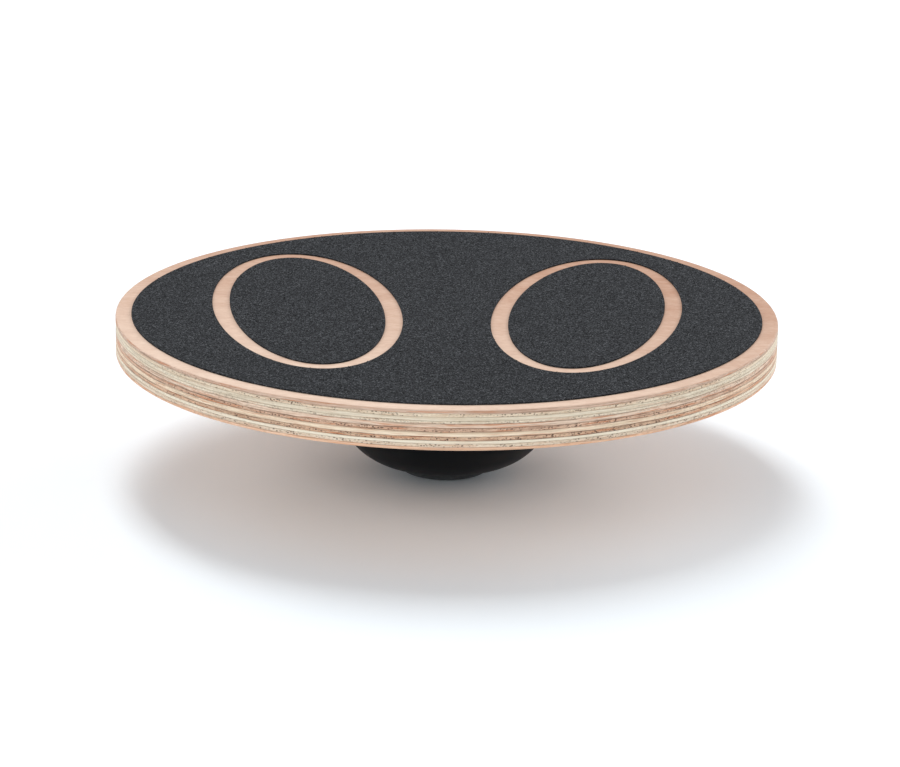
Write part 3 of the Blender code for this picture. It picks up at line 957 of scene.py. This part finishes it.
def thread_radius(z, share_of_turn, start_z, tip_z):
    """Radius of the screw's thread, which fades in at its start and tapers to the tip."""
    phase = (z / SCREW_PITCH + share_of_turn) % 1.0
    crest = max(0.0, 1 - abs(phase - 0.5) / THREAD_HALF_WIDTH)
    fade = min(1.0, (z - start_z) / SCREW_PITCH)
    radius = SCREW_CORE_RADIUS + (SCREW_THREAD_RADIUS - SCREW_CORE_RADIUS) * crest * fade
    taper = min(1.0, (tip_z - z) / SCREW_POINT)
    return max(radius * taper, SCREW_TIP_RADIUS)


def screw_sections():
    """The screw from its tip down to its head: a height and the radii round it at each level."""
    tip_z = screw_high.z
    start_z = HEAD_TOP_Z + SCREW_PLAIN_LENGTH
    rows = int((tip_z - start_z) / SCREW_PITCH * THREAD_ROWS)
    sections = []
    for row in range(rows + 1):
        z = tip_z - (tip_z - start_z) * row / rows
        shares = [i / SCREW_STEPS for i in range(SCREW_STEPS)]
        sections.append((z, [thread_radius(z, share, start_z, tip_z) for share in shares]))
    width = SCREW_HEAD_RADIUS - SCREW_HEAD_FLAT
    height = SCREW_HEAD_HEIGHT - SCREW_HEAD_SIDE
    head = [(SCREW_CORE_RADIUS, HEAD_TOP_Z), (SCREW_HEAD_RADIUS, HEAD_TOP_Z)]
    for r, z in arc((0.0, 0.0), 1.0, math.pi / 2, 0.0, SCREW_HEAD_STEPS):
        head.append((SCREW_HEAD_FLAT + width * r, HEAD_TOP_Z - SCREW_HEAD_SIDE + height * z))
    return sections + [(z, [r] * SCREW_STEPS) for r, z in head]


def threaded_screw():
    """One screw standing head down on the Z axis, its thread a wave of the shank's radius."""
    form = bmesh.new()
    rings = []
    for z, radii in screw_sections():
        ring = []
        for i, radius in enumerate(radii):
            angle = math.tau * i / SCREW_STEPS
            ring.append(form.verts.new((radius * math.cos(angle), radius * math.sin(angle), z)))
        rings.append(ring)
    for upper, lower in zip(rings, rings[1:]):
        for i in range(SCREW_STEPS):
            j = (i + 1) % SCREW_STEPS
            form.faces.new((upper[i], lower[i], lower[j], upper[j]))
    form.faces.new(rings[0])
    form.faces.new(rings[-1][::-1])
    bmesh.ops.recalc_face_normals(form, faces=form.faces)
    mesh = bpy.data.meshes.new("screw")
    form.to_mesh(mesh)
    form.free()
    screw = new_object("screw", mesh)
    slots = []
    size = (CROSS_SPAN, CROSS_WIDTH, OVERSHOOT + CROSS_DEPTH)
    for turn in (0.0, math.pi / 2):
        slot = box("slot", size, screw_low.z - OVERSHOOT)
        slot.rotation_euler.z = turn
        slots.append(slot)
    screw = cut(screw, slots)
    remove(slots)
    return screw


def make_screws():
    material = zinc_plated_steel()
    screws = ringed(threaded_screw(), SCREW_COUNT, SCREW_CIRCLE, material)
    screws.name = "dome_screws"
    nodes = [f"screw_{number}" for number in range(1, SCREW_COUNT + 1)]
    finish_piece(screws, material, "zinc_steel", *nodes)


# ---------------------------------------------------------------- studio


def make_floor():
    mesh = bpy.data.meshes.new("floor")
    form = bmesh.new()
    bmesh.ops.create_grid(form, size=FLOOR_HALF)
    form.to_mesh(mesh)
    form.free()
    floor = new_object("floor", mesh)
    material, _, shader, _ = new_material("white_paper", {})
    shader.inputs["Base Color"].default_value = linear("#EAF0F4")
    shader.inputs["Roughness"].default_value = 0.9
    shader.inputs["Specular IOR Level"].default_value = 0.0
    mesh.materials.append(material)


def softbox(name, place, size, power):
    """A rectangular white light that faces the board."""
    light = bpy.data.lights.new(name, "AREA")
    light.shape = "RECTANGLE"
    light.size, light.size_y = size
    light.energy = power
    lamp = new_object(name, light)
    lamp.location = place
    lamp.rotation_euler = (LIGHT_TARGET - place).to_track_quat("-Z", "Y").to_euler()


def make_lights():
    """The key, the panels round the board, and the even light of a white studio."""
    softbox("key_above_behind", KEY_PLACE, KEY_SIZE, KEY_POWER)
    for degrees, power in PANEL_POWERS.items():
        level = Matrix.Rotation(math.radians(degrees), 3, "Z") @ Vector((PANEL_DISTANCE, 0.0, 0.0))
        place = level + Vector((0.0, 0.0, PANEL_HEIGHT))
        softbox(f"panel_{degrees}", place, PANEL_SIZE, power)
    world = bpy.data.worlds.new("white_studio")
    world.use_nodes = True
    background = world.node_tree.nodes["Background"]
    background.inputs["Color"].default_value = (*GLOW_COLOUR, 1.0)
    background.inputs["Strength"].default_value = STUDIO_GLOW
    bpy.context.scene.world = world


def make_camera():
    """A long lens in front of the board, looking down on it and slightly rolled."""
    top = Vector((0.0, 0.0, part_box("ply_01_top_face")[1].z))
    forward = Vector((0.0, math.cos(CAMERA_ELEVATION), -math.sin(CAMERA_ELEVATION)))
    level_up = Vector((0.0, math.sin(CAMERA_ELEVATION), math.cos(CAMERA_ELEVATION)))
    across = Vector((1.0, 0.0, 0.0))
    right = math.cos(CAMERA_ROLL) * across + math.sin(CAMERA_ROLL) * level_up
    up = -math.sin(CAMERA_ROLL) * across + math.cos(CAMERA_ROLL) * level_up
    place = top + CAMERA_ASIDE * right - CAMERA_BELOW * up - CAMERA_DISTANCE * forward
    camera = bpy.data.cameras.new("camera")
    camera.lens = CAMERA_LENS
    camera.clip_end = CAMERA_REACH
    holder = new_object("camera", camera)
    turn = Matrix((right, up, -forward)).transposed()
    holder.matrix_world = Matrix.Translation(place) @ turn.to_4x4()
    bpy.context.scene.camera = holder


TURNING = turning_tree()
RING = ring_tree()
GRIT = grit_tree()

bpy.context.scene.view_settings.view_transform = "Standard"
ways = make_screw_ways()
make_deck(ways)
make_grip()
make_dome(ways)
remove([ways])
make_pad()
make_screws()
make_floor()
make_lights()
make_camera()
